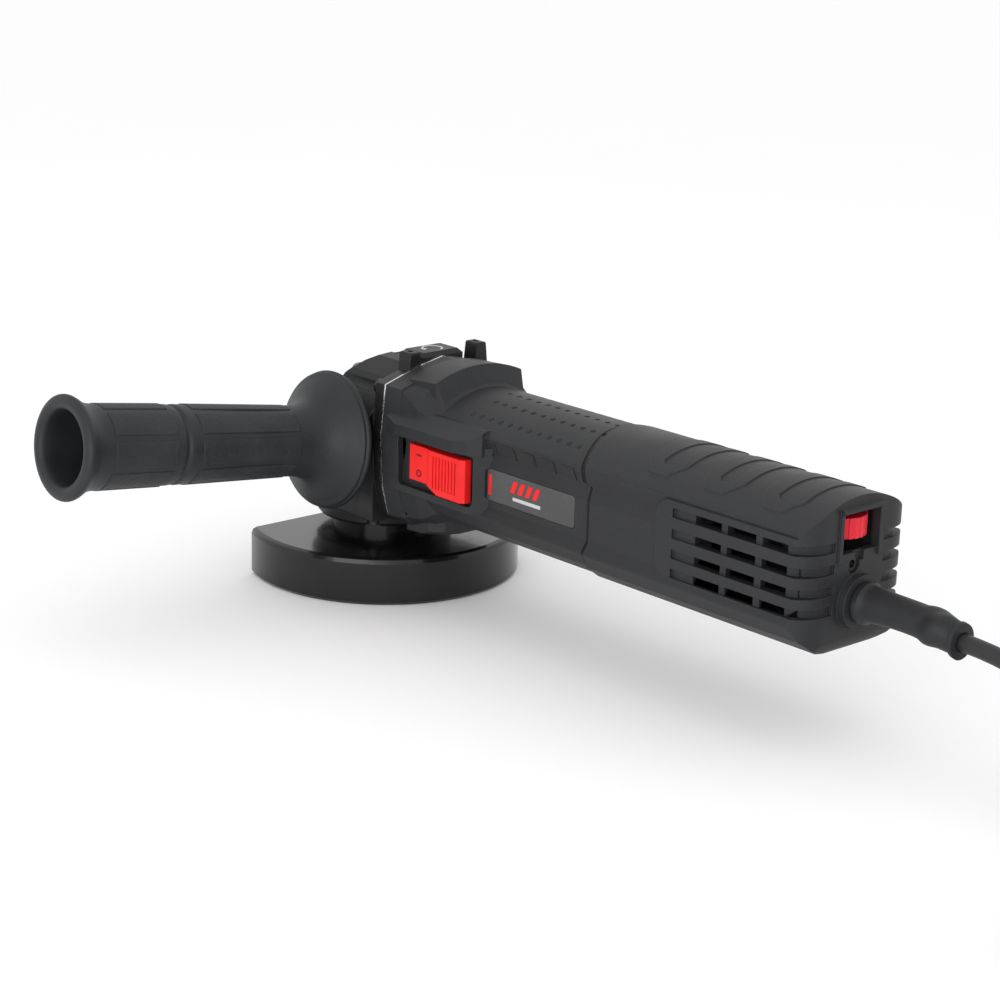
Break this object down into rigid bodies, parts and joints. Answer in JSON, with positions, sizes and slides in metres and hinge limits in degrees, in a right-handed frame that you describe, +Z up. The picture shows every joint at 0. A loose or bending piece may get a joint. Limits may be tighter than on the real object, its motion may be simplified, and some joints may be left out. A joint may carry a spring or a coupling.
{
  "type": "angle grinder",
  "caption": "Corded hand-held angle grinder: vented motor body, cast gear head, swivelling disc guard, side handle, slide switch and speed dial.",
  "frame": {"origin": "tip of the spindle, on the spindle axis", "axes": "+X from the spindle to the tail along the tool, -Y to the side handle and switch side, +Z up, against the spindle's free end"},
  "size_m": [0.51, 0.2824, 0.1091],
  "materials": {
    "moulded_black": "fine spark-eroded texture",
    "label": "satin printed plate",
    "cast_black": "semi-gloss black paint on a casting",
    "steel": "machined",
    "bare_plate": "bare machined edge",
    "bronze": "sintered",
    "rubber_black": "soft black rubber",
    "laminations": "stacked sheet edges",
    "copper": "enamelled wire",
    "nylon_black": "glass-filled nylon",
    "brass": "pressed sheet",
    "carbon": "carbon",
    "potting": "potted module",
    "grip": "charcoal soft grip",
    "black_steel": "blackened steel",
    "cord": "round rubber flex",
    "tie": "black tie",
    "plug": "moulded plug",
    "nickel": "nickel plated",
    "red_knob": "bright red",
    "red_dial": "bright red",
    "button_black": "black",
    "guard_black": "gloss black enamel"
  },
  "bodies": {
    "housing": {"motor_housing": "moulded_black", "label_plates": "label", "rear_cover": "moulded_black", "gear_case": "cast_black", "gear_case_screws": "steel", "bearing_plate": "bare_plate", "bearing_cover": "cast_black", "bearing_cover_screws": "steel", "spindle_bearing_outer": "steel", "front_bearing_outer": "steel", "rear_bearing_outer": "steel", "spindle_top_bush": "bronze", "rear_bearing_boot": "rubber_black", "stator_core": "laminations", "field_coils": "copper", "fan_baffle": "nylon_black", "brush_holders": "brass", "carbon_brushes": "carbon", "brush_springs": "steel", "switch_body": "nylon_black", "speed_module": "potting", "lock_spring": "steel", "side_handle_grip": "grip", "side_handle_stud": "steel", "cord_boot": "rubber_black", "cord_clamp": "nylon_black", "cord_clamp_screws": "steel", "rear_cover_screw": "black_steel", "mains_cord": "cord", "cord_coil": "cord", "cord_tie": "tie", "plug_body": "plug", "plug_pins": "nickel"},
    "armature": {"armature_shaft": "steel", "armature_core": "laminations", "armature_windings": "copper", "commutator": "copper", "fan": "nylon_black", "drive_pinion": "steel", "front_bearing_inner": "steel", "rear_bearing_inner": "steel"},
    "spindle": {"spindle": "steel", "crown_gear": "steel", "spindle_bearing_inner": "steel", "inner_flange": "black_steel", "flange_nut": "black_steel"},
    "switch_slide": {"switch_knob": "red_knob", "switch_rod": "nylon_black"},
    "lock": {"lock_button": "button_black", "lock_pin": "steel"},
    "dial": {"speed_dial": "red_dial", "dial_shaft": "nylon_black"},
    "guard": {"guard_shell": "guard_black", "guard_collar": "guard_black", "guard_clamp_screw": "steel"}
  },
  "joints": [
    {"name": "armature_spin", "type": "hinge", "parent": "housing", "child": "armature", "pos_m": [0.1, 0, 0.0675], "axis": [1, 0, 0], "continuous": true},
    {"name": "spindle_spin", "type": "hinge", "parent": "housing", "child": "spindle", "pos_m": [0, 0, 0.05], "axis": [0, 0, 1], "continuous": true},
    {"name": "switch_slide", "type": "slide", "parent": "housing", "child": "switch_slide", "axis": [-1, 0, 0], "range_m": [0, 0.008], "stiffness_N_per_m": 300, "springref_m": -0.003},
    {"name": "lock_press", "type": "slide", "parent": "housing", "child": "lock", "axis": [0, 0, -1], "range_m": [0, 0.004], "stiffness_N_per_m": 400, "springref_m": -0.003, "deforming": ["lock_spring"]},
    {"name": "speed_dial_turn", "type": "hinge", "parent": "housing", "child": "dial", "pos_m": [0.2698, 0, 0.0835], "axis": [0, 0, 1], "range_deg": [0, 270]},
    {"name": "guard_swivel", "type": "hinge", "parent": "housing", "child": "guard", "pos_m": [0, 0, 0.02], "axis": [0, 0, 1], "range_deg": [-90, 90]}
  ],
  "couplings": [
    {"joint": "spindle_spin", "follows": "armature_spin", "ratio": 0.33333}
  ]
}
